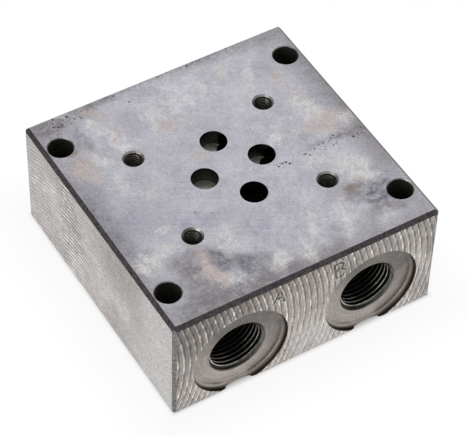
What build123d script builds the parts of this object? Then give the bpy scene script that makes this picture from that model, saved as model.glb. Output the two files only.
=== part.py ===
from build123d import *
import math
import os

# Subplate for a size 03 hydraulic directional valve, machined from one steel block, in mm.
# The origin is the centre of the underside, X runs along the front face, Y to the back, Z up.
# The valve is bolted to the ground top face. Pipes screw into the front and the back face.

# Block
block_width = 80.0
block_length = 80.0
block_height = 34.7
top_chamfer = 1.1
corner_chamfer = 0.9
bottom_chamfer = 0.5

# Valve interface on the top face, as distances from the block's centre
left_bolt_x = -20.25
left_bolt_pitch = 31.0
right_bolt_x = 20.25
right_bolt_pitch = 32.5
work_a_x = -7.55
work_b_x = 9.95
pressure_x = 1.25
pressure_y = -10.4
tank_x = 1.25
tank_y = 10.4
valve_port_dia = 7.5
valve_port_depth = 5.0
valve_bolt_dia = 5.0
valve_bolt_core_dia = 4.2
valve_bolt_rim_dia = 6.0
valve_bolt_thread_depth = 10.0
valve_bolt_drill_depth = 12.5

# Pipe ports, with a G 3/8 thread, two on the front face and two on the back face
port_pitch = 40.0
port_height = 13.7
seat_dia = 28.5
seat_depth = 1.7
seat_corner_radius = 1.1
thread_dia = 16.66
thread_core_dia = 14.95
thread_mouth_dia = 17.2
thread_depth = 12.5
drill_depth = 15.5

# Drilled channels inside the block
gallery_dia = 8.0
gallery_overrun = 3.2
channel_overlap = 3.0
work_feed_dia = 5.5
tank_feed_dia = 5.0
pressure_cross_dia = 7.0
pressure_well_sump = 4.0
lip_clearance = 0.06
drill_point_angle = 118.0

# Through holes that fix the subplate, an M6 screw with a coarse fit
corner_inset_x = 5.0
corner_inset_y = 11.5
corner_hole_dia = 7.0
corner_hole_break = 0.25

# How far a cutter starts outside the face that it enters
cutter_lead = 1.0


def bevelled_outline(plane, width, height, depth, low, high):
    """Prism of one depth whose section is a rectangle with its bottom and top corners cut."""
    w = width / 2
    points = [
        (-w + low, 0),
        (w - low, 0),
        (w, low),
        (w, height - high),
        (w - high, height),
        (-w + high, height),
        (-w, height - high),
        (-w, low),
    ]
    section = plane * make_face(Polyline(*points, close=True))
    return extrude(section, amount=depth / 2, both=True)


def blank():
    """The milled block: three prisms cross, so every edge gets its own chamfer."""
    cuts = (bottom_chamfer, top_chamfer)
    front_view = bevelled_outline(Plane.XZ, block_width, block_height, block_length, *cuts)
    side_view = bevelled_outline(Plane.YZ, block_length, block_height, block_width, *cuts)
    plan = Rectangle(block_width, block_length)
    plan = chamfer(plan.vertices(), corner_chamfer)
    return front_view & side_view & extrude(plan, amount=block_height)


def along(start, direction, shape):
    """Put a cutter that was made along +Z at a start point and turn it to a direction."""
    return Plane(origin=start, z_dir=direction) * shape


def bore(dia, depth, first=0.0):
    """Straight cutter from one depth to another."""
    base = Cylinder(dia / 2, depth - first, align=(Align.CENTER, Align.CENTER, Align.MIN))
    return Pos(0, 0, first) * base


def drilled(dia, depth, first=0.0):
    """Straight cutter with the cone that a drill leaves below its full depth."""
    point_height = dia / 2 / math.tan(math.radians(drill_point_angle / 2))
    point = Cone(dia / 2, 0, point_height, align=(Align.CENTER, Align.CENTER, Align.MIN))
    return bore(dia, depth, first) + Pos(0, 0, depth) * point


def countersink(rim_dia, dia):
    """Cutter that widens a hole to its rim at 45 degrees, from just outside the face."""
    depth = (rim_dia - dia) / 2
    wide = rim_dia / 2 + cutter_lead
    height = depth + cutter_lead
    cone = Cone(wide, wide - height, height, align=(Align.CENTER, Align.CENTER, Align.MIN))
    return Pos(0, 0, -cutter_lead) * cone


def round_seat():
    """Flat seat whose wall meets its floor in the corner radius of the spot facer."""
    cutter = bore(seat_dia, seat_depth, -cutter_lead)
    floor_edge = cutter.edges().filter_by(GeomType.CIRCLE).sort_by(Axis.Z)[-1]
    return fillet(floor_edge, seat_corner_radius)


def pipe_port(x, side):
    """Seat, thread bore and tapping drill, cut in from the front face or the back face."""
    cutter = round_seat()
    cutter += Pos(0, 0, seat_depth) * countersink(thread_mouth_dia, thread_dia)
    cutter += bore(thread_dia, seat_depth + thread_depth)
    cutter += drilled(thread_core_dia, seat_depth + drill_depth)
    return along((x, side * block_length / 2, port_height), (0, -side, 0), cutter)


def gallery(x, side, target_y):
    """Level channel from a port's tapping drill in past a target line, drilled through the port."""
    first = seat_depth + drill_depth - channel_overlap
    last = block_length / 2 - side * target_y + gallery_overrun
    cutter = drilled(gallery_dia, last, first)
    return along((x, side * block_length / 2, port_height), (0, -side, 0), cutter)


def valve_port(x, y, depth):
    """Short counterbore that the valve's seal ring sits over."""
    return along((x, y, block_height), (0, 0, -1), bore(valve_port_dia, depth, -cutter_lead))


def slanted_feed(x, y, dia, gallery_x):
    """Channel drilled through a valve port's mouth, down and sideways into a gallery.

    The drill leans against the far lip of the mouth, which it clears by a small amount.
    """
    drop = block_height - port_height
    reach = gallery_x - x
    widening = math.hypot(reach, drop) / drop
    spare = valve_port_dia / 2 - dia / 2 * widening - lip_clearance
    start_x = x + math.copysign(max(spare, 0.0), reach)
    run = gallery_x - start_x
    length = math.hypot(run, drop)
    return along((start_x, y, block_height), (run, 0, -drop), bore(dia, length))


def pressure_well(port_x, side):
    """Vertical well under the pressure port and the level channel that joins it to its pipe port."""
    well_depth = block_height - port_height + pressure_well_sump
    well = drilled(valve_port_dia, well_depth, -cutter_lead)
    start_y = side * (block_length / 2 - seat_depth - drill_depth + channel_overlap)
    run_x = pressure_x - port_x
    run_y = pressure_y - start_y
    cross = bore(pressure_cross_dia, math.hypot(run_x, run_y))
    cutter = along((pressure_x, pressure_y, block_height), (0, 0, -1), well)
    return cutter + along((port_x, start_y, port_height), (run_x, run_y, 0), cross)


def valve_bolt(x, y):
    """Tapped blind hole for one of the valve's four screws, at the thread's major diameter."""
    cutter = drilled(valve_bolt_core_dia, valve_bolt_drill_depth, -cutter_lead)
    cutter += bore(valve_bolt_dia, valve_bolt_thread_depth)
    cutter += countersink(valve_bolt_rim_dia, valve_bolt_dia)
    return along((x, y, block_height), (0, 0, -1), cutter)


def corner_hole(x, y):
    """Through hole with both rims broken."""
    rim_dia = corner_hole_dia + 2 * corner_hole_break
    cutter = along((x, y, 0), (0, 0, 1), bore(corner_hole_dia, block_height))
    cutter += along((x, y, 0), (0, 0, 1), countersink(rim_dia, corner_hole_dia))
    cutter += along((x, y, block_height), (0, 0, -1), countersink(rim_dia, corner_hole_dia))
    return cutter


def subplate():
    """The finished block."""
    port_x = port_pitch / 2
    corner_x = block_width / 2 - corner_inset_x
    corner_y = block_length / 2 - corner_inset_y
    body = blank()
    for side in (-1, 1):
        body -= pipe_port(-port_x, side)
        body -= pipe_port(port_x, side)
    body -= gallery(-port_x, -1, 0)
    body -= gallery(port_x, -1, 0)
    body -= gallery(port_x, 1, tank_y)
    for x in (work_a_x, work_b_x):
        body -= valve_port(x, 0, valve_port_depth)
    body -= valve_port(tank_x, tank_y, valve_port_depth)
    body -= slanted_feed(work_a_x, 0, work_feed_dia, -port_x)
    body -= slanted_feed(work_b_x, 0, work_feed_dia, port_x)
    body -= slanted_feed(tank_x, tank_y, tank_feed_dia, port_x)
    body -= pressure_well(-port_x, 1)
    for side in (-1, 1):
        body -= valve_bolt(left_bolt_x, side * left_bolt_pitch / 2)
        body -= valve_bolt(right_bolt_x, side * right_bolt_pitch / 2)
        for end in (-1, 1):
            body -= corner_hole(end * corner_x, side * corner_y)
    return body


os.makedirs("parts", exist_ok=True)
block = subplate()
block.label = "subplate_block"
export_step(block, "parts/subplate_block.step")
print("solids", len(block.solids()), "volume", round(block.volume), "valid", block.is_valid)
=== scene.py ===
# %% [markdown]
# # A hydraulic valve subplate
# A directional valve is bolted to the ground top face of this steel block, and pipes screw into
# the threaded ports on its front and back. The block's form is already in the packed CAD model,
# so this lesson adds what a bare solid lacks: the cut threads, and the finish that each tool
# left on each face. The frame is loaded first, because all that follows is placed from it.

import math

import bpy
import numpy as np
from mathutils import Matrix, Vector


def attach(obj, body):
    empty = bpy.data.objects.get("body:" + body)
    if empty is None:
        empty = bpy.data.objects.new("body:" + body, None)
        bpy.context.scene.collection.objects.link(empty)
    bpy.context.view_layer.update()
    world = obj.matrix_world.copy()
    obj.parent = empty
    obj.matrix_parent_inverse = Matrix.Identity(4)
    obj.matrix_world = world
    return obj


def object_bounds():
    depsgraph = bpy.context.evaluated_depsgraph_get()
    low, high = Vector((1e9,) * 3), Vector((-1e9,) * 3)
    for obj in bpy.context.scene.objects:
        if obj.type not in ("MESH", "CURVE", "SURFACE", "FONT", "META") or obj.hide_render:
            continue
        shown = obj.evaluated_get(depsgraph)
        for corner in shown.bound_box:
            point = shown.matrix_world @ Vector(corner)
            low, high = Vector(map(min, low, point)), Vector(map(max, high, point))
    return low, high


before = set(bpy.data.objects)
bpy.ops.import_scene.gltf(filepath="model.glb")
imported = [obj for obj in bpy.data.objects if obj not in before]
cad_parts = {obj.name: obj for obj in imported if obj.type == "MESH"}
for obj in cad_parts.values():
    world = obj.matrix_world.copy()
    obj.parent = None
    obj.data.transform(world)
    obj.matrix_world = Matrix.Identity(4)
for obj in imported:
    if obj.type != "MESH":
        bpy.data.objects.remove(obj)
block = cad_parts["subplate_block"]
cad_low, cad_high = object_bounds()
print("block from", [round(v, 4) for v in cad_low], "to", [round(v, 4) for v in cad_high])

# %% [markdown]
# ## The block's own sizes
# A finish can only sit on the right face if the scene knows where the faces and holes are. They
# are kept here once, in millimetres, as a machinist's drawing has them. Reading them out of the
# mesh would also work, but a table of names is easier to check against the drawing.

# %% Sizes and hole places
HALF_WIDTH = cad_high.x * 1000
HALF_LENGTH = cad_high.y * 1000
HEIGHT = cad_high.z * 1000
TOP_CHAMFER = 1.1
CORNER_CHAMFER = 0.9

PIPE_PORT_X = 20.0
PIPE_PORT_Z = 13.7
SEAT_RADIUS = 14.25
SEAT_DEPTH = 1.7
SEAT_CORNER = 1.1
PIPE_MOUTH_RADIUS = 8.6

VALVE_PORT_DEPTH = 5.0
VALVE_PORT_REACH = 14.5
CORNER_HOLE_START = 30.0
CORNER_RIM_DEPTH = 0.25
VALVE_BOLT_X = 20.25
VALVE_BOLT_RIM_DEPTH = 0.5
VALVE_BOLTS = [
    (-VALVE_BOLT_X, -15.5),
    (-VALVE_BOLT_X, 15.5),
    (VALVE_BOLT_X, -16.25),
    (VALVE_BOLT_X, 16.25),
]
print("block in mm", [round(v, 2) for v in (2 * HALF_WIDTH, 2 * HALF_LENGTH, HEIGHT)])

# %% [markdown]
# ## A shorthand for node sums
# Steel finishes are sums: a ridge is a distance, divided by a feed, folded and sharpened. Wiring
# each sum by hand takes a page of links. A Wire wraps one socket, and the usual signs between
# wires add the Math nodes, so that the formulas below can be read as formulas.


# %% Wire and its helpers
def plug(tree, socket, value):
    """Feed a socket from a wire, or set it to a plain value."""
    if isinstance(value, Wire):
        tree.links.new(value.socket, socket)
    else:
        socket.default_value = value


def add(tree, kind, inputs, **settings):
    """Add one node, with its settings and the inputs named by place or by title."""
    node = tree.nodes.new(kind)
    for key, value in settings.items():
        setattr(node, key, value)
    for key, value in inputs.items():
        plug(tree, node.inputs[key], value)
    return node


class Wire:
    """One output socket. Each sign used between wires adds one Math node to their tree."""

    def __init__(self, tree, socket):
        self.tree = tree
        self.socket = socket
        self.parts = None

    def maths(self, kind, *values):
        """One Math node of a kind, fed by these values."""
        node = add(self.tree, "ShaderNodeMath", dict(enumerate(values)), operation=kind)
        return Wire(self.tree, node.outputs[0])

    def __add__(self, other):
        return self.maths("ADD", self, other)

    def __sub__(self, other):
        return self.maths("SUBTRACT", self, other)

    def __mul__(self, other):
        return self.maths("MULTIPLY", self, other)

    def __truediv__(self, other):
        return self.maths("DIVIDE", self, other)

    def __rsub__(self, other):
        return self.maths("SUBTRACT", other, self)

    def size(self):
        return self.maths("ABSOLUTE", self)

    def root(self):
        return self.maths("SQRT", self)

    def above(self, limit):
        return self.maths("GREATER_THAN", self, limit)

    def below(self, limit):
        return self.maths("LESS_THAN", self, limit)

    def near(self, target, margin):
        return self.maths("COMPARE", self, target, margin)

    def least(self, other):
        return self.maths("MINIMUM", self, other)

    def most(self, other):
        return self.maths("MAXIMUM", self, other)


signs = ("__add__", "__sub__", "__mul__", "__truediv__")
print("signs ready", [sign.strip("_") for sign in vars(Wire) if sign in signs])


# %% Vectors, ramps, mixes and materials
def axes(place):
    """The three parts of a vector wire, which is split only once."""
    if place.parts is None:
        node = add(place.tree, "ShaderNodeSeparateXYZ", {0: place})
        place.parts = [Wire(place.tree, out) for out in node.outputs]
    return place.parts


def point(*parts):
    """A vector from three values, at least one of them a wire."""
    tree = next(part.tree for part in parts if isinstance(part, Wire))
    node = add(tree, "ShaderNodeCombineXYZ", dict(enumerate(parts)))
    return Wire(tree, node.outputs[0])


def vector(kind, first, *others):
    """One Vector Math node. Lengths and dot products come out as values."""
    inputs = dict(enumerate((first, *others)))
    node = add(first.tree, "ShaderNodeVectorMath", inputs, operation=kind)
    scalar = kind in ("LENGTH", "DISTANCE", "DOT_PRODUCT")
    return Wire(first.tree, node.outputs["Value" if scalar else "Vector"])


def scaled(place, factor):
    """A vector or a colour times one number."""
    node = add(place.tree, "ShaderNodeVectorMath", {0: place, "Scale": factor}, operation="SCALE")
    return Wire(place.tree, node.outputs["Vector"])


def turned(place, angle):
    """A vector turned about the Z axis."""
    inputs = {"Vector": place, "Angle": angle}
    node = add(place.tree, "ShaderNodeVectorRotate", inputs, rotation_type="Z_AXIS")
    return Wire(place.tree, node.outputs[0])


def ramp(value, low, high, start=0.0, end=1.0):
    """Smooth step: start below low, end above high, and an S curve between them."""
    inputs = {"Value": value, "From Min": low, "From Max": high, "To Min": start, "To Max": end}
    node = add(value.tree, "ShaderNodeMapRange", inputs, interpolation_type="SMOOTHSTEP")
    return Wire(value.tree, node.outputs["Result"])


def blend_colours(share, first, second):
    """First colour where share is 0, second colour where it is 1."""
    node = add(share.tree, "ShaderNodeMix", {"Factor": share}, data_type="RGBA")
    plug(share.tree, node.inputs[6], first)
    plug(share.tree, node.inputs[7], second)
    return Wire(share.tree, node.outputs[2])


def noise(place, size, detail=2.0, seed=0.0, rough=0.5):
    """Cloud noise whose blobs are about size across, from 0 to 1 around a half."""
    inputs = {"Vector": place, "W": seed, "Detail": detail, "Roughness": rough}
    node = add(place.tree, "ShaderNodeTexNoise", inputs, noise_dimensions="4D")
    plug(place.tree, node.inputs["Scale"], 1.0 / size)
    return Wire(place.tree, node.outputs["Fac"])


def chance(number):
    """One fixed lot from 0 to 1 for each whole number."""
    node = add(number.tree, "ShaderNodeTexWhiteNoise", {"W": number}, noise_dimensions="1D")
    return Wire(number.tree, node.outputs["Value"])


def new_material(title):
    """An empty node material, its tree, and the place in millimetres as its first wire."""
    material = bpy.data.materials.new(title)
    material.use_nodes = True
    tree = material.node_tree
    tree.nodes.clear()
    coordinates = add(tree, "ShaderNodeTexCoord", {})
    return material, tree, scaled(Wire(tree, coordinates.outputs["Object"]), 1000.0)


def finish_material(material, shader):
    """Feed the material's surface from its last shader node."""
    tree = material.node_tree
    end = tree.nodes.new("ShaderNodeOutputMaterial")
    tree.links.new(shader.outputs[0], end.inputs["Surface"])
    print(material.name, "nodes", len(tree.nodes))
    return material


def paint(red, green, blue):
    """A colour as read off a screen, 0 to 255, turned to the linear values that shaders take."""
    screen = np.array([red, green, blue]) / 255
    linear = np.where(screen <= 0.04045, screen / 12.92, ((screen + 0.055) / 1.055) ** 2.4)
    return (*linear.tolist(), 1.0)


print("mid grey 128 is linear", round(paint(128, 128, 128)[0], 3))


# %% [markdown]
# ## Node groups: effects that several finishes share
# A finish is built from a few effects that come back on several faces: the bow-shaped ridges of
# a face mill, the rings of a turning cut, clouds of stain, pits, and the stamped strokes of the
# port letters. Each is one node group with named inputs, so that one correction reaches all
# faces. Every group reads a place in millimetres, and gives heights in millimetres.


# %% Start and close a group
def open_group(title, inputs):
    """A new group and its input wires: the place, then one for each name and default."""
    inputs = {"Place": (0.0, 0.0, 0.0), **inputs}
    tree = bpy.data.node_groups.new(title, "ShaderNodeTree")
    for name, default in inputs.items():
        kind = "NodeSocketVector" if isinstance(default, tuple) else "NodeSocketFloat"
        socket = tree.interface.new_socket(name, in_out="INPUT", socket_type=kind)
        socket.default_value = default
    source = tree.nodes.new("NodeGroupInput")
    return tree, [Wire(tree, source.outputs[name]) for name in inputs]


def close_group(tree, outputs):
    """Name the group's outputs and feed each from its wire."""
    for name in outputs:
        tree.interface.new_socket(name, in_out="OUTPUT", socket_type="NodeSocketFloat")
    sink = tree.nodes.new("NodeGroupOutput")
    for name, wire in outputs.items():
        plug(tree, sink.inputs[name], wire)
    print(tree.name, "nodes", len(tree.nodes))
    return tree


def use(group, place, **inputs):
    """Add a group beside its place wire and give its output wires by name."""
    tree = place.tree
    node = tree.nodes.new("ShaderNodeGroup")
    node.node_tree = group
    plug(tree, node.inputs["Place"], place)
    for key, value in inputs.items():
        plug(tree, node.inputs[key.replace("_", " ").title()], value)
    return {out.name: Wire(tree, out) for out in node.outputs}


# %% [markdown]
# A face mill runs sideways along a face while it turns, so each tooth leaves a circular arc one
# feed on from the last. An arc through a point is found by going back from the point to the
# arc's middle line: the distance run is x minus the bow of the circle at that height. That
# distance divided by the feed counts the ridges. Each ridge gives a thin crest, which the
# finishes paint as a highlight, with a furrow of painted shadow beside it, and the painted
# highlight comes in dashes rather than along its whole length.


# %% Face-mill ridges
def make_mill_arcs():
    """Ridge count = (run - root(radius^2 - (across - middle)^2)) / feed, plus a slow waver.
    With f its fraction, the fold |2f - 1| is 1 on a ridge, and the furrow lies at f = 0.22."""
    inputs = {"Radius": 44.0, "Middle": 18.7, "Feed": 1.8, "Waver": 0.2}
    tree, (place, radius, middle, feed, waver) = open_group("mill_arcs", inputs)
    run, across, _ = axes(place)
    off = across - middle
    bow = (radius * radius - off * off).root()
    count = (run - bow) / feed + (noise(place, 8.0, 3.0) - 0.5) * waver
    part = count.maths("FRACT", count)
    fold = (part * 2.0 - 1.0).size()
    dashes = ramp(noise(place, 2.6, 2.0, 3.0), 0.40, 0.60, 0.25, 1.0)
    strength = chance(count.maths("ROUND", count)) * 0.5 + 0.5
    # Crest becomes a painted highlight in the finishes' colour, and the furrow a painted shadow
    # beside it.
    outputs = {
        "Crest": ramp(fold, 0.50, 0.95) * strength * dashes,
        "Furrow Shadow": ramp((part - 0.22).size(), 0.24, 0.03),
        "Lane": chance(count.maths("FLOOR", count) + 0.5),
        "Hollow": fold * fold,
    }
    return close_group(tree, outputs)


mill_arcs = make_mill_arcs()


# %% [markdown]
# Steel from the mill has clouds: thin oxide, dried coolant, finger marks. Small noise on top of
# large noise looks like smoke, so the large clouds are warped by a second noise first, which
# gives the smeared, wiped look of the real face. A single patch is an oval, for the stains that
# sit at one place.


# %% Clouds and single stains
def make_clouds():
    """Noise read at place + warp, where warp is a second noise of the same size."""
    inputs = {"Size": 20.0, "Warp": 0.6, "Seed": 0.0}
    tree, (place, size, warp, seed) = open_group("stain_clouds", inputs)
    near = vector("DIVIDE", place, point(size, size, size))
    inputs = {"Vector": near, "W": seed, "Scale": 0.8}
    shift = add(tree, "ShaderNodeTexNoise", inputs, noise_dimensions="4D")
    centred = vector("SUBTRACT", Wire(tree, shift.outputs["Color"]), (0.5, 0.5, 0.5))
    near = vector("ADD", near, scaled(centred, warp))
    drawn = noise(near, 1.0, 6.0, seed + 3.7, 0.62)
    return close_group(tree, {"Amount": ramp(drawn, 0.3, 0.7)})


def make_patch():
    """Oval distance = length of (place - centre), turned and divided by its reach.
    Amount falls smoothly from 1 inside to 0 at 1.4 reaches."""
    inputs = {"Centre": (0.0,) * 3, "Reach": (1.0,) * 3, "Turn": 0.0}
    tree, (place, centre, reach, turn) = open_group("stain_patch", inputs)
    off = turned(vector("SUBTRACT", place, centre), turn)
    far = vector("LENGTH", vector("DIVIDE", off, reach))
    return close_group(tree, {"Amount": ramp(far, 0.25, 1.40, 1.0, 0.0)})


stain_clouds = make_clouds()
stain_patch = make_patch()


def clouds(place, size, seed, warp=1.0):
    """Amount of cloud at a place, from 0 to 1."""
    return use(stain_clouds, place, size=size, warp=warp, seed=seed)["Amount"]


# %% [markdown]
# Pits are the small black holes that a rolled skin leaves. A Voronoi texture drops one point in
# each cell, and only the cells whose own random number is low keep their pit. Turning rings
# and fine scratches are noise that is stretched until it becomes lines.


# %% Pits, scratches and turned rings
def close_lines(tree, place, **inputs):
    """Close a group that draws lines, as noise read at a place that was squeezed."""
    drawn = add(tree, "ShaderNodeTexNoise", {"Vector": place, "Scale": 1.0, **inputs})
    return close_group(tree, {"Line": Wire(tree, drawn.outputs["Fac"])})


def make_pits():
    """Depth share = 1 at a cell's point to 0 at half a cell, kept in a few cells only."""
    inputs = {"Size": 0.6, "Share": 0.1}
    tree, (place, size, share) = open_group("pits", inputs)
    near = vector("DIVIDE", place, point(size, size, size))
    cells = add(tree, "ShaderNodeTexVoronoi", {"Vector": near, "Scale": 1.0})
    kept = axes(Wire(tree, cells.outputs["Color"]))[0].below(share)
    depth = ramp(Wire(tree, cells.outputs["Distance"]), 0.12, 0.42, 1.0, 0.0)
    return close_group(tree, {"Pit": depth * kept})


def make_scratches():
    """Noise read at a place squeezed along one direction, which draws lines that way."""
    inputs = {"Spacing": 0.3, "Length": 20.0, "Turn": 0.0, "Seed": 0.0}
    tree, (place, spacing, length, turn, seed) = open_group("scratches", inputs)
    along, across, _ = axes(turned(place, turn))
    lines = point(along / length, across / spacing, seed)
    return close_lines(tree, lines, Detail=3.0, Roughness=0.6)


def make_rings():
    """Noise of the radius alone gives rings, and a little of the place keeps them uneven."""
    inputs = {"Radius": 5.0, "Feed": 0.35}
    tree, (place, radius, feed) = open_group("turned_rings", inputs)
    ring = point(radius / feed, 0.0, 0.0)
    return close_lines(tree, vector("ADD", ring, scaled(place, 0.10)), Detail=2.0)


pits = make_pits()
scratches = make_scratches()
turned_rings = make_rings()


# %% [markdown]
# Port letters are struck with a punch, so each stroke is a V groove of one width. The distance
# from a point to a stroke's line is all that is needed, and the shortest of several strokes
# gives a whole letter. They are the plain letters that any such valve pattern carries: A and B
# over the work ports at the front, P and T over the pump and tank ports at the back.


# %% One punched stroke
def make_stroke():
    """Distance to a segment = |p - a - t (b - a)|, with t = (p - a).(b - a) / |b - a|^2
    held between 0 and 1."""
    inputs = {"Start": (0.0,) * 3, "End": (1.0, 0.0, 0.0)}
    tree, (place, start, end) = open_group("punched_stroke", inputs)
    off = vector("SUBTRACT", place, start)
    line = vector("SUBTRACT", end, start)
    share = vector("DOT_PRODUCT", off, line) / vector("DOT_PRODUCT", line, line)
    share = share.most(0.0).least(1.0)
    gap = vector("SUBTRACT", off, scaled(line, share))
    return close_group(tree, {"Distance": vector("LENGTH", gap)})


punched_stroke = make_stroke()

# %% Letter strokes
# Corner points of each letter in a box one unit high, in one list for each run of strokes
LETTERS = {
    "A": [[(-0.34, -0.5), (0.0, 0.5), (0.34, -0.5)], [(-0.2, -0.12), (0.2, -0.12)]],
    "B": [
        [(-0.24, -0.5), (-0.24, 0.5), (0.1, 0.48), (0.2, 0.28), (0.1, 0.04), (-0.24, 0.04)],
        [(0.1, 0.04), (0.26, -0.2), (0.14, -0.48), (-0.24, -0.5)],
    ],
    "P": [[(-0.24, -0.5), (-0.24, 0.5), (0.12, 0.48), (0.26, 0.22), (0.12, -0.02), (-0.24, -0.02)]],
    "T": [[(-0.3, 0.5), (0.3, 0.5)], [(0.0, 0.5), (0.0, -0.5)]],
}


def letter_distance(place, letter, centre, height, lean):
    """Distance to the nearest stroke of a letter of one height, set at a centre and leant."""
    x, y = centre
    inputs = {"Vector": place, "Angle": math.radians(lean), "Center": (x, y, 0.0)}
    node = add(place.tree, "ShaderNodeVectorRotate", inputs, rotation_type="Z_AXIS")
    upright = Wire(place.tree, node.outputs[0])
    nearest = None
    for corners in LETTERS[letter]:
        ends = [(x + u * height, y + v * height, 0.0) for u, v in corners]
        for start, end in zip(ends, ends[1:]):
            stroke = use(punched_stroke, upright, start=start, end=end)
            gap = stroke["Distance"]
            nearest = gap if nearest is None else nearest.least(gap)
    return nearest


print("letters", {name: sum(len(line) - 1 for line in lines) for name, lines in LETTERS.items()})


# %% [markdown]
# ## Which face is this?
# One block carries thirteen finishes. They could be thirteen materials on sorted faces, but the
# CAD mesh is the fixed frame and is left as it came. Its planes lie at known places, so one
# group tells from the place alone which face a point is on, and gives a mask for each.


# %% Face finder
def make_face_finder():
    """A point belongs to a face if it lies on that face's plane, to a hundredth of a millimetre,
    or three on a slanted or an inner face. What is near the outside and on no plane is a
    chamfer or a corner, and the rest is inside a hole. Rise is 0 on a seat's floor and 1 at
    the top of its wall."""
    tree, (place,) = open_group("face_finder", {})
    slack, loose = 0.01, 0.03
    x, y, z = axes(place)
    across, along = x.size(), y.size()
    top = z.above(HEIGHT - slack)
    under = z.below(slack)
    sides = across.above(HALF_WIDTH - slack)
    ends = along.above(HALF_LENGTH - slack)

    radius = vector("LENGTH", point(across - PIPE_PORT_X, z - PIPE_PORT_Z, 0.0))
    rise = (along - (HALF_LENGTH - SEAT_DEPTH)) / SEAT_DEPTH
    in_seat = radius.below(SEAT_RADIUS + 0.06) * along.below(HALF_LENGTH - slack)
    seat = in_seat * rise.size().below(0.02)
    wall = in_seat * rise.above(0.02) * radius.above(SEAT_RADIUS - SEAT_CORNER - 0.1)
    pipe_rim = radius.below(PIPE_MOUTH_RADIUS + 0.05) * (rise + 0.1).size().below(0.09)

    flat = top.most(under).most(sides).most(ends).most(seat).most(wall)
    outer = across.most(along).above(HALF_WIDTH - TOP_CHAMFER - slack)
    edge = outer * (1.0 - flat)
    upright = (across + along).near(HALF_WIDTH + HALF_LENGTH - CORNER_CHAMFER, loose)
    chamfer = edge * z.above(HEIGHT - TOP_CHAMFER - 0.02) * (1.0 - upright)

    inside = (1.0 - outer) * (1.0 - flat)
    central = inside * across.most(along).below(VALVE_PORT_REACH)
    drilled = inside * across.below(CORNER_HOLE_START)
    port_floor = inside * z.near(HEIGHT - VALVE_PORT_DEPTH, loose)
    port_wall = central * z.above(HEIGHT - VALVE_PORT_DEPTH + loose)
    bolt_rim = z.above(HEIGHT - VALVE_BOLT_RIM_DEPTH - slack) * across.near(VALVE_BOLT_X, 4.0)
    corner_rim = z.above(HEIGHT - CORNER_RIM_DEPTH - slack) * across.above(CORNER_HOLE_START)
    outputs = {
        "Top": top,
        "Under": under,
        "Sides": sides,
        "Ends": ends,
        "Seat": seat,
        "Seat Wall": wall,
        "Rise": rise,
        "Chamfer": chamfer,
        "Corner": edge * (1.0 - chamfer),
        "Port Wall": port_wall,
        "Port Floor": port_floor,
        "Channel": drilled * (1.0 - port_wall) * (1.0 - port_floor),
        "Pipe Rim": pipe_rim,
        "Rim": inside * bolt_rim.most(corner_rim),
        "Port Radius": radius,
    }
    return close_group(tree, outputs)


face_finder = make_face_finder()

# %% [markdown]
# ## The ground valve face
# The top was ground flat for the seal rings, then handled and stored. It is a cool lilac grey,
# with pale and pinkish islands of stain, a darker bluish band by the left edge, and dark smears
# towards the front left corner. Stains of a known place are patches; the rest is clouds. Their
# edges are torn by warping the place once, ahead of all the patches. Towards the front, left
# and right edges the face is duller, where it has been handled.

# %% Stains of the valve face
PALE = paint(218, 217, 221)
CHALK = paint(212, 210, 210)
CREAM = paint(207, 202, 197)
ROSE = paint(198, 185, 181)
LILAC = paint(167, 165, 178)
ASH = paint(139, 135, 138)
SLATE = paint(120, 117, 125)
UMBER = paint(138, 127, 121)

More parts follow.
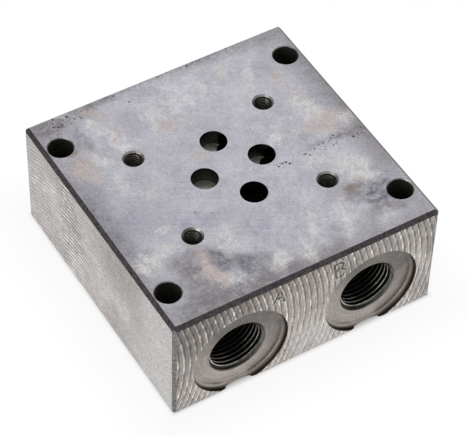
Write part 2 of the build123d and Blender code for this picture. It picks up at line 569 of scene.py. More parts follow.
# colour, strength, centre x and y, reach along and across, and the turn in degrees, if any
TOP_STAINS = [
    (SLATE, 0.60, -37.4, -1.0, 4.0, 14.0),
    (LILAC, 0.60, -31.0, -3.0, 7.0, 6.0),
    (LILAC, 0.50, -35.0, 8.0, 3.0, 7.0),
    (LILAC, 0.50, -14.0, 27.0, 3.6, 6.5, 20),
    (LILAC, 0.40, 27.0, 28.0, 4.0, 3.0),
    (LILAC, 0.60, -4.0, -21.0, 4.5, 8.0, -15),
    (LILAC, 0.35, 3.0, -17.0, 6.0, 5.0),
    (LILAC, 0.60, -18.0, -11.5, 13.0, 3.6, -10),
    (LILAC, 0.45, -34.0, -35.5, 5.0, 2.4),
    (ASH, 0.70, -35.0, 36.5, 9.0, 4.5),
    (ASH, 0.60, -20.0, 38.5, 14.0, 2.4),
    (ASH, 0.40, 8.0, 39.5, 20.0, 1.6),
    (ASH, 0.50, 22.0, 38.0, 18.0, 3.0),
    (ASH, 0.55, -29.0, 28.0, 2.6, 6.5),
    (ASH, 0.60, -24.5, 35.5, 4.0, 2.0),
    (LILAC, 0.45, 35.0, 16.0, 2.4, 12.0),
    (ASH, 0.50, 38.5, 10.0, 2.4, 26.0),
    (ASH, 0.20, 36.0, -18.0, 4.5, 14.0),
    (ASH, 0.80, -26.0, -24.0, 5.6, 5.6),
    (ASH, 0.80, -26.0, -33.0, 6.4, 6.4),
    (SLATE, 0.60, -18.0, -26.0, 9.0, 4.4, -50),
    (SLATE, 0.70, -12.0, -31.0, 7.5, 4.6, -30),
    (ASH, 0.85, -18.0, -37.0, 24.0, 4.0),
    (ASH, 0.35, 12.0, -34.0, 5.0, 3.0, 60),
    (ASH, 0.50, 6.0, -38.5, 9.0, 3.0),
    (SLATE, 0.85, 28.5, -27.5, 4.6, 4.0, -30),
    (SLATE, 0.55, 31.5, -24.0, 3.0, 1.4, -30),
    (ASH, 0.60, 29.0, -32.0, 7.5, 2.4, -10),
    (ASH, 0.75, 21.5, -23.5, 4.6, 3.6, -30),
    (ASH, 0.60, 32.0, -4.6, 11.0, 1.5, -2),
    (ASH, 0.25, 36.0, -7.5, 4.0, 3.6),
    (SLATE, 0.30, 23.0, -0.5, 3.0, 1.6),
    (PALE, 0.45, 2.0, 29.0, 15.0, 8.0, 10),
    (CHALK, 1.00, -23.2, 30.0, 6.4, 1.5, 112),
    (PALE, 1.00, -20.8, 22.0, 4.4, 2.3, 95),
    (CHALK, 1.00, -28.0, 18.8, 4.0, 1.7, 115),
    (CHALK, 0.45, -27.0, 10.0, 5.0, 1.8, 90),
    (CHALK, 0.80, -8.0, 25.0, 4.6, 2.4, 70),
    (CHALK, 0.50, -22.0, 2.5, 3.6, 2.2),
    (CHALK, 0.55, 21.5, 26.0, 6.5, 1.6, 62),
    (CHALK, 0.95, 29.6, 10.0, 8.5, 2.8, 100),
    (PALE, 1.00, 28.2, 4.8, 2.4, 1.2, -20),
    (PALE, 0.70, 16.6, 4.0, 4.4, 2.0, 45),
    (CHALK, 0.55, 21.0, -8.5, 4.0, 2.8),
    (CHALK, 1.00, 28.4, -15.0, 5.6, 4.6, -30),
    (CHALK, 0.90, 30.0, -19.6, 3.6, 1.6, -20),
    (CHALK, 0.55, 27.0, -34.6, 4.0, 1.8),
    (CHALK, 0.75, 17.5, -28.5, 8.0, 3.0, 70),
    (CHALK, 0.75, 8.6, -27.5, 6.0, 2.0, 72),
    (CHALK, 0.85, 3.0, -33.5, 4.6, 2.8, 80),
    (CHALK, 0.75, -5.0, -33.6, 4.0, 2.8, 20),
    (CHALK, 0.55, -13.2, -21.5, 6.0, 2.6, 75),
    (CHALK, 1.00, -34.6, -18.2, 3.8, 3.6),
    (CHALK, 0.70, -29.0, -16.5, 4.0, 2.0, 20),
    (CHALK, 0.45, -25.0, -10.0, 3.0, 1.6),
    (CHALK, 0.50, -17.0, -33.0, 4.4, 2.4, -20),
    (CREAM, 0.90, 16.0, 31.6, 1.2, 2.4),
    (CREAM, 0.70, 19.4, 22.0, 2.2, 0.8, 60),
    (ROSE, 0.90, -21.6, 34.4, 4.6, 1.5, 122),
    (ROSE, 0.80, -20.0, 25.0, 4.0, 0.9, 62),
    (ROSE, 0.80, -6.4, 21.4, 3.4, 1.5),
    (ROSE, 0.85, -33.6, 20.0, 4.2, 3.4),
    (ROSE, 0.50, -33.0, 15.0, 3.0, 2.6),
    (ROSE, 0.40, -5.0, 7.8, 4.0, 1.8),
    (ROSE, 0.85, 28.4, 21.6, 3.4, 1.7, 90),
    (ROSE, 0.90, 28.6, 15.6, 2.4, 0.9, 75),
    (ROSE, 0.75, 31.5, 1.6, 8.5, 3.8, -5),
    (CHALK, 0.60, 35.5, 1.0, 3.0, 2.4, -5),
    (ROSE, 0.75, -22.4, -26.0, 6.5, 2.2, 82),
    (ROSE, 0.60, -21.0, -31.5, 3.6, 2.0, 90),
    (UMBER, 0.50, -33.0, 25.0, 3.0, 1.2, 20),
    (UMBER, 0.65, 25.4, -22.2, 4.2, 2.0, -32),
    (ROSE, 0.70, 27.6, -20.4, 1.8, 0.9, -30),
]
# where dried oxide has crumbled to pale grains: centre x and y, reach along and across
CRUMBLED = [
    (-17.0, -33.5, 6.0, 3.4),
    (-24.5, -10.5, 3.4, 2.0),
    (30.0, -19.0, 4.0, 2.4),
    (-13.0, -24.0, 3.0, 4.0),
]


def stain_share(place, across, up, reach, width, turn=0.0):
    """How much of a stain lies at a place on the valve face, from 0 to 1."""
    inputs = {"centre": (across, up, HEIGHT), "reach": (reach, width, 100.0)}
    return use(stain_patch, place, turn=math.radians(-turn), **inputs)["Amount"]


def stained_top(place):
    """Colour and roughness factor of the valve face."""
    tree = place.tree
    inputs = {"Vector": place, "Scale": 0.3, "Detail": 6.0, "Roughness": 0.72}
    warp = add(tree, "ShaderNodeTexNoise", inputs)
    shift = vector("SUBTRACT", Wire(tree, warp.outputs["Color"]), (0.5, 0.5, 0.5))
    torn = vector("ADD", place, scaled(shift, 8.0))
    big = clouds(place, size=17.0, warp=1.3, seed=2.0)
    wisps = clouds(place, size=3.4, warp=1.2, seed=7.0)
    grain = noise(place, 0.42, 3.0, 5.0, 0.75)
    dull = clouds(place, size=7.0, warp=1.6, seed=17.0)
    x, y, _ = axes(place)
    handled = ramp(x.size().most(0.0 - y), 27.0, 40.0)
    colour = blend_colours(big, paint(190, 189, 199), paint(205, 204, 213))
    colour = blend_colours(wisps * 0.28, colour, PALE)
    colour = blend_colours(dull * 0.26 + handled * 0.36, colour, ASH)
    crumbs = clouds(place, size=1.5, warp=1.8, seed=29.0)
    cover = ((wisps - 0.5) * 0.9 + (crumbs - 0.5) * 1.1 + 1.0).most(0.0)
    for shade, strength, *spot in TOP_STAINS:
        share = stain_share(torn, *spot) * cover * strength
        colour = blend_colours(share.least(1.0), colour, shade)
    grains = ramp(noise(place, 0.9, 3.0, 53.0, 0.7), 0.48, 0.60)
    for spot in CRUMBLED:
        colour = blend_colours(stain_share(torn, *spot) * grains * 0.5, colour, PALE)
    ground = use(scratches, place, spacing=0.28, length=18.0, turn=0.5, seed=3.0)
    specks = ramp(noise(place, 0.45, 2.0, 25.0, 0.7), 0.56, 0.70) * (handled * 0.45 + 0.08)
    colour = blend_colours(specks, colour, paint(78, 76, 80))
    wiped = use(scratches, torn, spacing=0.9, length=6.0, turn=-1.15, seed=8.0)["Line"]
    wiped = (wiped - 0.5) * ramp(y, -6.0, -22.0, 0.15, 0.42)
    fine = (grain - 0.5) * 1.0 + (ground["Line"] - 0.5) * 0.35
    light = fine + wiped + (crumbs - 0.5) * 0.10 + (wisps - 0.5) * 0.06 + 1.0
    return scaled(colour, light), (wisps - 0.5) * 0.12 + 1.0


print("stains on the valve face", len(TOP_STAINS), "crumbled", len(CRUMBLED))

# %% [markdown]
# The pits lie in a band that runs in from the right edge, where the skin under the cut was not
# quite sound, with more at the far left corner and along the far edge. Each field is a patch
# that thins out its pits towards its ends, and the deepest few are placed one by one.

# %% Pits of the valve face
# centre x and y, reach along and across, share of cells with a pit
PIT_FIELDS = [
    (28.0, -5.6, 15.0, 1.5, 0.26),
    (13.2, -5.8, 3.6, 1.4, 0.34),
    (-30.5, 36.8, 7.0, 2.6, 0.26),
    (-36.0, 38.0, 3.0, 1.6, 0.30),
    (0.0, 38.9, 38.0, 0.9, 0.20),
]
# centre x and y, radius
LONE_PITS = [
    (14.7, -6.5, 0.42),
    (13.0, -5.5, 0.30),
    (11.5, -6.0, 0.30),
    (30.1, -3.6, 0.34),
    (28.2, -6.7, 0.26),
    (20.2, -5.7, 0.32),
    (-28.3, 37.7, 0.40),
    (-31.6, 35.2, 0.28),
    (-26.8, 36.0, 0.26),
    (-15.6, -9.0, 0.24),
    (-12.0, -11.2, 0.20),
    (-11.0, 34.2, 0.24),
]


def pitted(place):
    """How deep a pit is at each place, from 0 to 1."""
    x, y, _ = axes(place)
    flat = point(x, y, 0.0)
    fine = use(pits, flat, size=0.62, share=0.3)["Pit"]
    deepest = None
    for across, up, reach, width, share in PIT_FIELDS:
        inputs = {"centre": (across, up, 0.0), "reach": (reach, width, 1.0)}
        field = use(stain_patch, flat, **inputs)["Amount"]
        coarse = use(pits, flat, size=1.15, share=share)["Pit"]
        depth = coarse.most(fine * 0.75) * ramp(field, 0.05, 0.5)
        deepest = depth if deepest is None else deepest.most(depth)
    ragged = scaled(point(noise(flat, 0.5) - 0.5, noise(flat, 0.5, 2.0, 9.0) - 0.5, 0.0), 0.5)
    shaken = vector("ADD", flat, ragged)
    for across, up, radius in LONE_PITS:
        gap = vector("DISTANCE", shaken, (across, up, 0.0))
        deepest = deepest.most(ramp(gap, radius * 0.45, radius * 1.15, 1.0, 0.0))
    return deepest


print("pit fields", len(PIT_FIELDS), "single pits", len(LONE_PITS))

# %% [markdown]
# ## The milled sides
# The end faces were cut with a wide face mill at 1.8 mm a turn, and the side faces with a wider
# one that ran up and down. Each ridge is lit in the colour as well as raised in the bump,
# because bare metal mirrors one even white floor here, and a bump alone would hardly show. A
# second, returning pass crosses the first, and finer tooth lines lie between the ridges of the
# ends, whose furrows fade low between the two ports.


# %% End faces, side faces and underside
def milled_end(place):
    """Colour, roughness factor and height of the two end faces."""
    x, _, z = axes(place)
    arcs = use(mill_arcs, point(x, z, 0.0), waver=0.22)
    back = use(mill_arcs, point(0.0 - x, z, 4.0), waver=0.30)
    fine = use(mill_arcs, point(x, z, 7.0), feed=0.6, waver=0.5)
    tone = clouds(place, size=7.0, seed=4.0)
    warm = clouds(place, size=5.0, seed=11.0)
    grain = noise(place, 0.36, 3.0, 8.0, 0.8)
    # Painted shade and light: as the room's reflection, the colour darkens towards the top edge and
    # the right end, and is lighter low in the middle.
    right_end_shade = ramp(x, 10.0, 38.0) * ramp(z, 22.0, 6.0)
    light = ramp(z, 34.0, 8.0, 0.0, 0.66) + ramp(x, -38.0, 6.0, 0.02, 0.29)
    light = light + ramp(x, 8.0, 26.0) * 0.1 - right_end_shade * 0.22 - ramp(x, 31.0, 39.0) * 0.24
    light = (light + (tone - 0.5) * 0.45).most(0.0).least(1.0)
    colour = blend_colours(light, paint(123, 118, 114), paint(206, 200, 195))
    colour = blend_colours(ramp(x.size(), 13.0, 2.0) * 0.30, colour, paint(176, 162, 152))
    # The calm zone low between the ports is painted lighter, as the same reflection, and its
    # painted furrow shadows fade there.
    calm = ramp((x - 2.0).size(), 10.0, 3.0) * ramp(z, 18.0, 7.0)
    colour = blend_colours(calm * 0.5, colour, paint(204, 204, 203))
    colour = blend_colours(ramp(warm, 0.45, 1.0) * 0.30, colour, paint(160, 147, 139))
    colour = blend_colours(ramp(warm, 0.30, 0.0) * 0.30, colour, paint(150, 151, 155))
    first = arcs["Crest"] * (back["Crest"] * 0.9 + 0.38)
    ridges = first * ramp(light, 0.0, 1.0, 3.4, 1.1) + back["Crest"] * 0.28
    furrows = (arcs["Furrow Shadow"] * 0.50 + back["Furrow Shadow"] * 0.14) * (1.0 - calm * 0.6)
    bright = ridges - furrows + (grain - 0.5) * 2.0 + 0.96
    bright = bright + fine["Crest"] * 0.40 - fine["Furrow Shadow"] * 0.16
    height = arcs["Hollow"] * 0.030 + back["Crest"] * 0.008
    return scaled(colour, bright.most(0.2)), arcs["Lane"] * 0.16 + 0.90, height


def milled_side(place):
    """Colour, roughness factor and height of the two side faces."""
    _, y, z = axes(place)
    sizes = {"radius": 78.0, "middle": -1.0, "feed": 1.53, "waver": 0.12}
    arcs = use(mill_arcs, point(z, y, 0.0), **sizes)
    back = use(mill_arcs, point(0.0 - z, y, 4.0), **sizes)
    tone = clouds(place, size=12.0, seed=9.0)
    warm = clouds(place, size=8.0, seed=15.0)
    grain = noise(place, 0.36, 3.0, 12.0, 0.8)
    smudge = clouds(place, size=3.6, warp=1.2, seed=33.0)
    colour = blend_colours(tone, paint(171, 165, 162), paint(209, 205, 201))
    colour = blend_colours(smudge * 0.30, colour, paint(152, 148, 146))
    colour = blend_colours(ramp(warm, 0.5, 1.0) * 0.35, colour, paint(188, 178, 180))
    # Painted shade: the side face is darker towards its top edge, and in an oval patch just below
    # it.
    shade = use(stain_patch, place, centre=(0.0, -12.0, 26.0), reach=(200.0, 15.0, 9.0))["Amount"]
    shade = shade * (tone * 0.5 + 0.4) + ramp(z, 24.0, 32.0) * 0.45
    colour = blend_colours(shade.least(1.0), colour, paint(160, 155, 153))
    smooth_front = ramp(y, -20.0, -27.0)
    colour = blend_colours(smooth_front * 0.6, colour, paint(200, 200, 199))
    column = ramp(y, 6.0, 10.0) * ramp(y, 22.0, 18.0)
    low_calm = ramp(z, 17.0, 12.0) * ramp(y, 6.0, 2.0)
    marks = (column * 0.7 + 0.55) * ramp(y, -26.0, -14.0, 0.30, 1.0) * (1.0 - low_calm * 0.8)
    marks = marks * ramp(noise(place, 6.0, 2.0, 31.0), 0.36, 0.6, 0.5, 1.0)
    first = arcs["Crest"] * (back["Crest"] * 0.8 + 0.7)
    lines = first * 1.6 - arcs["Furrow Shadow"] * 0.62 - back["Furrow Shadow"] * 0.20
    bright = lines * marks + (grain - 0.5) * 2.7 + 1.03
    return scaled(colour, bright), arcs["Lane"] * 0.08 + 0.96, arcs["Crest"] * marks * 0.012


def milled_under(place):
    """Colour and height of the underside, faced in one pass from side to side."""
    x, y, _ = axes(place)
    arcs = use(mill_arcs, point(x, y, 9.0), radius=70.0, middle=4.0)
    tone = clouds(place, size=14.0, seed=19.0)
    grain = noise(place, 0.42, 3.0, 14.0, 0.75)
    colour = blend_colours(tone, paint(160, 156, 153), paint(190, 187, 184))
    bright = arcs["Crest"] * 0.30 - arcs["Furrow Shadow"] * 0.16 + (grain - 0.5) * 0.7 + 1.0
    return scaled(colour, bright), arcs["Crest"] * 0.015


# %% [markdown]
# ## Seats, chamfers and holes
# The round seats were cut by a spot facer over its whole width, so they carry rings, and painted
# light pools towards their lower edge. The wall is painted dark as shade from its corner radius
# up, with a painted highlight along its outer edge. The top's chamfers are painted nearly black,
# as a painted reflection of the dim side of a room that they turn away to, while the upright
# corners are a plain mid grey.


# %% Seat and wall
def beside_port(x):
    """How far right of the middle of its own pipe port a place lies."""
    return x - x.maths("SIGN", x) * PIPE_PORT_X


def turned_seat(place, finder):
    """Colour and height of the seats, with painted light pooled low, and the colour of the wall
    round them, with painted shade.
    """
    x, _, z = axes(place)
    rings = use(turned_rings, place, radius=finder["Port Radius"], feed=0.55)["Line"]
    tone = clouds(place, size=7.0, seed=13.0)
    warm = clouds(place, size=4.0, seed=23.0)
    grain = noise(place, 0.36, 3.0, 17.0, 0.8)
    # Painted light: the seat is lighter towards its lower edge, where light pools.
    slope = (z - PIPE_PORT_Z) * -0.9 - beside_port(x) * 0.25
    light = ramp(slope, -9.0, 9.0) + (tone - 0.5) * 0.45
    colour = blend_colours(light.most(0.0).least(1.0), paint(113, 109, 105), paint(178, 170, 164))
    colour = blend_colours(ramp(warm, 0.5, 1.0) * 0.3, colour, paint(148, 134, 130))
    bright = (rings - 0.5) * 0.6 + (grain - 0.5) * 1.5 + 1.0
    seat = scaled(colour, bright)
    rise = finder["Rise"]
    # Painted shade: the wall darkens across its corner radius and up, with a painted highlight
    # along its outer edge.
    wall = blend_colours(ramp(rise, 0.0, 0.45), colour, paint(66, 58, 53))
    wall = blend_colours(ramp(rise, 0.80, 1.0) * 0.6, wall, paint(140, 134, 128))
    return seat, wall, rings * 0.008


# %% [markdown]
# The letters are not cleanly struck: the punch bounced on the ridges, so parts of each stroke
# are missing. A worn mask breaks them, and a raised lip of pushed-up steel follows the groove.


# %% Port letters
def port_letters(place):
    """Groove and lip of the letters over the ports, each from 0 to 1. The back face is read
    with X reversed, so that its letters stand the right way round there."""
    x, y, z = axes(place)
    front = point(x, z, 0.0)
    back = point(0.0 - x, z, 0.0)
    far = 99.0
    a = letter_distance(front, "A", (-8.9, 29.3), height=5.0, lean=5)
    b = letter_distance(front, "B", (9.3, 29.0), height=5.8, lean=-9)
    p = letter_distance(back, "P", (8.9, 29.1), height=5.4, lean=-3)
    t = letter_distance(back, "T", (-9.2, 29.2), height=5.2, lean=5)
    distance = (a.least(b) + y.above(0.0) * far).least(p.least(t) + y.below(0.0) * far)
    worn = noise(place, 1.1, 3.0, 21.0)
    struck = ramp(noise(place, 2.3, 2.0, 27.0), 0.30, 0.46)
    groove = ramp(distance + (worn - 0.5) * 1.1, 0.10, 0.46, 1.0, 0.0) * struck
    lip = ramp(distance, 0.34, 0.5) * ramp(distance, 0.85, 0.55) * struck
    return groove, lip


# %% [markdown]
# ## The block's shader
# All finishes meet here. The colour of each face goes over the last where its mask is 1, as
# soon as it is known, so that few values wait at a time. The heights add up to one bump. Steel
# is a metal all over, so what it shows is mostly the room in it. Strength 1 and a distance of a
# thousandth of a metre make the bump read its heights as true millimetres.


# %% End faces with their letters
def lettered_end(place):
    """The milled end with its letters struck in, and dark nicks along its upper edge, where
    each furrow runs out into the chamfer."""
    _, _, z = axes(place)
    colour, shine, height = milled_end(place)
    groove, lip = port_letters(place)
    # The groove is painted dark, as shade in the struck recess, and the lip painted light, as a
    # highlight on the pushed-up steel.
    colour = blend_colours(groove * 0.9, colour, paint(56, 51, 50))
    colour = blend_colours(lip * 0.40, colour, paint(214, 210, 204))
    nicks = ramp(noise(place, 0.9, 2.0, 33.0), 0.42, 0.62)
    nicks = nicks * ramp(z, HEIGHT - 1.8, HEIGHT - TOP_CHAMFER)
    colour = blend_colours(nicks * 0.8, colour, paint(72, 66, 68))
    return colour, shine, height - groove * 0.10


# %% Block material
def make_block_steel():
    """One material for the whole block: a colour for each face, and one bump."""
    material, tree, place = new_material("block_steel")
    finder = use(face_finder, place)

    grain = noise(place, 0.5, 3.0, 41.0, 0.7)
    smear = clouds(place, size=3.0, seed=43.0)
    flecks = ramp(noise(place, 0.8, 5.0, 45.0, 0.8), 0.30, 0.66)
    colour = blend_colours(smear, paint(132, 133, 124), paint(158, 158, 148))
    for name, texture, dark, pale in (
        ("Channel", smear, (112, 112, 102), (142, 142, 130)),
        # The valve port walls are painted near black, as shade inside the ports.
        ("Port Wall", smear, (34, 34, 31), (66, 66, 61)),
        # Their floors are painted near white, as a pool of painted light that falls in through the
        # mouth.
        ("Port Floor", smear, (222, 221, 212), (250, 248, 240)),
        ("Rim", smear, (108, 107, 106), (198, 196, 193)),
        ("Pipe Rim", smear, (95, 92, 89), (142, 139, 134)),
        # The top's chamfers are painted dark, as a painted reflection of the dim room near the
        # horizon.
        ("Chamfer", flecks, (60, 56, 59), (116, 110, 113)),
        ("Corner", flecks, (84, 82, 81), (150, 147, 144)),
    ):
        shade = blend_colours(texture, paint(*dark), paint(*pale))
        colour = blend_colours(finder[name], colour, shade)
    seat_colour, shaded_wall_colour, seat_height = turned_seat(place, finder)
    colour = blend_colours(finder["Seat"], colour, seat_colour)
    colour = blend_colours(finder["Seat Wall"], colour, shaded_wall_colour)
    side_colour, side_shine, side_height = milled_side(place)
    colour = blend_colours(finder["Sides"], colour, side_colour)
    end_colour, end_shine, end_height = lettered_end(place)
    colour = blend_colours(finder["Ends"], colour, end_colour)
    under_colour, under_height = milled_under(place)
    colour = blend_colours(finder["Under"], colour, under_colour)
    top_colour, top_shine = stained_top(place)
    pit = pitted(place)
    top_colour = blend_colours(pit * 0.75, top_colour, paint(38, 36, 38))
    colour = blend_colours(finder["Top"], colour, top_colour)
    colour = scaled(colour, (grain - 0.5) * 0.3 + 1.0)

    milled = finder["Ends"] + finder["Sides"]
    shine = top_shine * finder["Top"] + end_shine * finder["Ends"] + side_shine * finder["Sides"]
    rough = (shine + 1.0 - finder["Top"] - milled) * 0.42
    height = grain * 0.008 - pit * 0.12 * finder["Top"]
    height = height + end_height * finder["Ends"] + side_height * finder["Sides"]
    height = height + seat_height * finder["Seat"] + under_height * finder["Under"]

    bump = add(tree, "ShaderNodeBump", {"Strength": 1.0, "Distance": 0.001, "Height": height})
    inputs = {"Base Color": colour, "Roughness": rough, "Metallic": 1.0}
    shader = add(tree, "ShaderNodeBsdfPrincipled", inputs)
    tree.links.new(bump.outputs["Normal"], shader.inputs["Normal"])
    return finish_material(material, shader)


block.material_slots[0].material = make_block_steel()

# %% [markdown]
# ## Cut threads
# The CAD model holds each threaded hole as a smooth bore at the thread's widest radius, because
# a helix would be thousands of faces for nothing. Here the thread is a sleeve that lines the
# bore: a grid of angle by depth, whose radius follows the thread's form along a helix. Rows and
# columns close on themselves, with a plain outer wall behind the thread, so each sleeve is a
# closed tube like the coiled inserts that mend worn threads.


# %% Thread sleeve
# part of the fold that is flat at crest and at root, turns over which the thread runs out,
# crest share of the mouth's cone, and drop of the lip's outer edge
THREAD_FLAT = 0.14
RUNOUT_TURNS = 1.5
CONE_SHARE = 0.85
LIP_DROP = 0.02


def thread_sleeve(name, mouth_centre, inward, form):
    """Radius = the larger of the thread form and the mouth's 45 degree cone.
    The form folds depth / pitch - angle / turn to a rounded V between root and crest, and
    the last turn and a half fades out at the crest radius, where the tap stopped. The edge
    where the cone ends counts as crest too, over a half-width that the form gives for its wear and
    painted highlight."""
    columns = form["columns"]
    angle = np.linspace(0, 2 * np.pi, columns, endpoint=False)
    depth = np.linspace(form["start"], form["end"], form["rows"])
    deep, turn = np.meshgrid(depth, angle, indexing="ij")
    fold = np.abs(2 * np.mod(deep / form["pitch"] - turn / (2 * np.pi), 1.0) - 1)
    valley = np.clip((fold - THREAD_FLAT) / (1 - 2 * THREAD_FLAT), 0, 1)
    valley = 0.6 * valley + 0.4 * valley**2 * (3 - 2 * valley)
    fade = np.clip((form["end"] - deep) / (RUNOUT_TURNS * form["pitch"]), 0, 1)
    thread = form["crest"] + (form["root"] - form["crest"]) * valley * fade
    cone = np.maximum(form["mouth"] - deep, 0)
    inner = np.maximum(thread, cone)
    share = (form["root"] - inner) / (form["root"] - form["crest"])
    share = np.where(cone > thread, CONE_SHARE, np.clip(share, 0, 1))
    # The cone's end edge counts as a full crest, so it takes the crests' wear and painted
    # highlight.
    share = np.where(np.abs(deep - form["mouth"] + form["crest"]) < form["worn_glint"], 1.0, share)

    outer_depth = np.repeat([[form["end"]], [form["start"] + LIP_DROP]], columns, axis=1)
    radius = np.vstack([inner, np.full((2, columns), form["wall"])])
    deep = np.vstack([deep, outer_depth])
    turn = np.vstack([turn, turn[:2]])
    share = np.vstack([share, np.zeros((2, columns))])
    axis = np.array(inward, float)
    first = np.array([1.0, 0.0, 0.0])
    second = np.cross(axis, first)
    spokes = np.cos(turn)[..., None] * first + np.sin(turn)[..., None] * second
    points = np.array(mouth_centre) + deep[..., None] * axis + radius[..., None] * spokes
    return grid_mesh(name, points / 1000, {"crest_share": share, "sunk": deep})


def grid_mesh(name, points, values):
    """Mesh of a grid that closes both ways. Face corners are (r, c), (r+1, c), (r+1, c+1),
    (r, c+1), taken round the rows and columns. Each named value becomes a point attribute."""
    rows, columns = points.shape[:2]
    number = np.arange(rows * columns).reshape(rows, columns)
    below = np.roll(number, -1, axis=0)
    beside = np.roll(number, -1, axis=1)
    corner = np.roll(below, -1, axis=1)
    faces = np.stack([number, below, corner, beside], axis=-1).reshape(-1, 4)
    mesh = bpy.data.meshes.new(name)
    mesh.from_pydata(points.reshape(-1, 3).tolist(), [], faces.tolist())
    mesh.polygons.foreach_set("use_smooth", np.ones(len(faces), bool))
    for title, grid in values.items():
        attribute = mesh.attributes.new(title, "FLOAT", "POINT")
        attribute.data.foreach_set("value", grid.ravel().astype(np.float32))
    mesh.update()
    piece = bpy.data.objects.new(name, mesh)
    bpy.context.scene.collection.objects.link(piece)
    print(name, "faces", len(faces))
    return piece


# %% [markdown]
# The flanks and roots of a used thread are dark, and its crests bright, partly from the wear that
# every fitting rubs in and partly as a painted highlight. Each sleeve carries its own crest share,
# from 0 in the root to 1 on the crest, and how far it is sunk, in millimetres. The material reads
# both as attributes. The painted highlight gives way to painted shade as the thread goes down, and
# it is dimmed low in the pipe ports.


# %% Thread material
def make_thread_steel():
    """Worn crests with a painted highlight that fades to painted shade deeper down, and black
    roots.
    """
    material, tree, place = new_material("thread_steel")
    share = add(tree, "ShaderNodeAttribute", {}, attribute_name="crest_share")
    depth = add(tree, "ShaderNodeAttribute", {}, attribute_name="sunk")
    crest = Wire(tree, share.outputs["Fac"])
    sunk = Wire(tree, depth.outputs["Fac"])
    dirt = clouds(place, size=2.4, seed=5.0)
    x, _, z = axes(place)
    # The crests' wear and painted highlight fade to painted shade as the thread goes down, and are
    # dimmed low in the pipe ports.
    low = (beside_port(x) * 0.26 - (z - PIPE_PORT_Z) * 0.97) / PIPE_MOUTH_RADIUS
    low_dimming = ramp(low, 0.72, 0.88) * ramp(sunk, 1.4, 2.6)
    worn_glint = ramp(crest, 0.80, 1.0) * ramp(sunk, 2.2, 6.8, 1.0, 0.02) * (1.0 - low_dimming * 0.9)
    colour = blend_colours(worn_glint, paint(46, 45, 42), paint(226, 222, 215))
    colour = blend_colours(ramp(dirt, 0.45, 1.0) * 0.6, colour, paint(26, 24, 23))
    inputs = {"Base Color": colour, "Roughness": dirt * 0.2 + 0.25, "Metallic": 1.0}
    return finish_material(material, add(tree, "ShaderNodeBsdfPrincipled", inputs))


thread_steel = make_thread_steel()

# %% [markdown]
# A G 3/8 thread has 19 turns to the inch, which is 1.337 mm, and an M5 thread 0.8 mm. The
# sleeve's root stays a little inside the bore's wall, so that the two never show through each
# other. Columns run round the hole, and rows go down it.

# %% Thread sizes
PIPE_THREAD = {
    "pitch": 1.337,
    "crest": 7.475,
    "root": 8.27,
    "wall": 8.3,
    "mouth": PIPE_MOUTH_RADIUS,
    "worn_glint": 0.16,
    "start": 0.27,
    "end": 12.5,
    "columns": 112,
    "rows": 170,
}
BOLT_THREAD = {
    "pitch": 0.8,
    "crest": 2.1,
    "root": 2.46,
    "wall": 2.475,
    "mouth": 3.0,
    "worn_glint": 0.0,
    "start": 0.5,
    "end": 10.0,
    "columns": 56,
    "rows": 160,
}
print("pipe thread turns", round(PIPE_THREAD["end"] / PIPE_THREAD["pitch"], 1))

# %% Line the holes
sleeves = []
for letter, end, side in (("a", -1, -1), ("b", 1, -1), ("p", -1, 1), ("t", 1, 1)):
    mouth = (end * PIPE_PORT_X, side * (HALF_LENGTH - SEAT_DEPTH), PIPE_PORT_Z)
    name = "pipe_thread_" + letter
    sleeves.append(thread_sleeve(name, mouth, (0, -side, 0), PIPE_THREAD))
for count, (x, y) in enumerate(VALVE_BOLTS, 1):
    name = "bolt_thread_" + str(count)
    sleeves.append(thread_sleeve(name, (x, y, HEIGHT), (0, 0, -1), BOLT_THREAD))
for sleeve in sleeves:
    sleeve.data.materials.append(thread_steel)
    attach(sleeve, "root")
print("sleeves", len(sleeves))

# %% [markdown]
# ## The studio
# The block lies on a white table under a wide soft light. The table is lit like anything else,
# but for rays that come from the camera or off shiny steel, most of its white is given out
# directly, and all of it further out, so that the background is white while the block's soft
# shadow remains beside it. Right under the block no light reaches the table, so none is given.


# %% Table
def make_table():
    """A wide white sheet just under the block."""
    mesh = bpy.data.meshes.new("table")
    half, level = 6.0, -0.0002
    quarters = ((-1, -1), (1, -1), (1, 1), (-1, 1))
    corners = [(east * half, north * half, level) for east, north in quarters]
    mesh.from_pydata(corners, [], [(0, 1, 2, 3)])
    table = bpy.data.objects.new("table", mesh)
    bpy.context.scene.collection.objects.link(table)
    material, tree, place = new_material("table_white")
    white = add(tree, "ShaderNodeBsdfDiffuse", {"Color": (0.9, 0.9, 0.9, 1.0)})
    glow = add(tree, "ShaderNodeEmission", {"Color": (1.0, 1.0, 1.0, 1.0), "Strength": 1.0})
    path = add(tree, "ShaderNodeLightPath", {})
    seen = Wire(tree, path.outputs["Is Camera Ray"])
    seen = seen.most(Wire(tree, path.outputs["Is Glossy Ray"]))
    seen = seen.most(Wire(tree, path.outputs["Is Transmission Ray"]))
    x, y, _ = axes(place)
    beyond = x.size().most(y.size()) - HALF_WIDTH
    given = ramp(beyond, -2.0, 1.0, 0.0, 0.90) + ramp(beyond, 1.0, 18.0, 0.0, 0.10)
    mix = add(tree, "ShaderNodeMixShader", {0: seen * given})
    tree.links.new(white.outputs[0], mix.inputs[1])
    tree.links.new(glow.outputs[0], mix.inputs[2])
    mesh.materials.append(finish_material(material, mix))
    print("table", 2 * half, "m wide")


make_table()


# %% [markdown]
# Two softboxes stand in for the studio: a wide one overhead and behind, which the valve face
# mirrors, and a small one at the left. The room itself is dim near the horizon and brighter
# overhead, and that is what shapes bare metal.


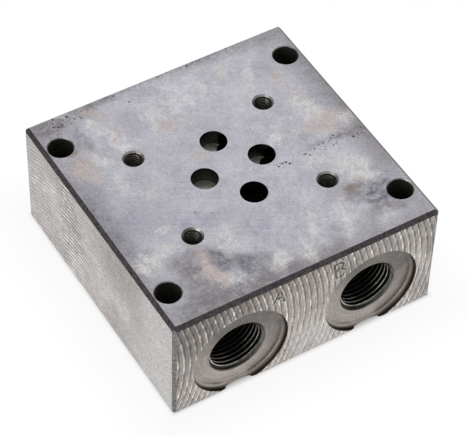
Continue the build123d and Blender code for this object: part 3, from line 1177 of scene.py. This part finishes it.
# %% Lamps and room
def soft_light(name, place, width, height, watts):
    """A rectangular softbox that looks at the middle of the block."""
    lamp = bpy.data.lights.new(name, "AREA")
    lamp.shape = "RECTANGLE"
    lamp.size, lamp.size_y = width, height
    lamp.energy = watts
    holder = bpy.data.objects.new(name, lamp)
    bpy.context.scene.collection.objects.link(holder)
    holder.location = place
    direction = Vector((0, 0, 0.02)) - Vector(place)
    holder.rotation_euler = direction.to_track_quat("-Z", "Y").to_euler()
    print(name, watts, "W")


def make_room():
    """Brightness follows the height of the direction looked in: dim at the horizon, brighter
    overhead."""
    world = bpy.data.worlds.new("room")
    world.use_nodes = True
    tree = world.node_tree
    tree.nodes.clear()
    coordinates = add(tree, "ShaderNodeTexCoord", {})
    up = axes(Wire(tree, coordinates.outputs["Generated"]))[2]
    level = ramp(up, 0.30, 0.90, 0.33, 0.66)
    back = add(tree, "ShaderNodeBackground", {"Color": (1.0, 1.0, 1.0, 1.0), "Strength": level})
    end = tree.nodes.new("ShaderNodeOutputWorld")
    tree.links.new(back.outputs[0], end.inputs["Surface"])
    bpy.context.scene.world = world


soft_light("ceiling_softbox", (0.25, 0.45, 0.75), width=1.0, height=0.8, watts=1.1)
soft_light("left_softbox", (-0.9, -0.2, 0.45), width=0.5, height=0.5, watts=2.5)
make_room()

# %% [markdown]
# ## The camera
# The view is from above the front left corner, down at about 49 degrees, through a long lens.
# The camera is held a little askew, by just under two degrees, so it is aimed first and then
# rolled about its own line of sight.

# %% Camera
camera_data = bpy.data.cameras.new("camera")
camera_data.lens = 174.97
camera_data.sensor_width = 36.0
camera_data.clip_start, camera_data.clip_end = 0.05, 20.0
camera = bpy.data.objects.new("camera", camera_data)
bpy.context.scene.collection.objects.link(camera)
stand = Vector((-0.21417, -0.34062, 0.47588))
target = Vector((0.000126, -0.00257, 0.0172))
aim = (target - stand).to_track_quat("-Z", "Y").to_matrix()
roll = Matrix.Rotation(math.radians(1.8605), 3, "Z")
camera.matrix_world = Matrix.Translation(stand) @ (aim @ roll).to_4x4()
bpy.context.scene.camera = camera
bpy.context.scene.view_settings.view_transform = "Standard"
print("camera is", round((target - stand).length, 3), "m from the block")
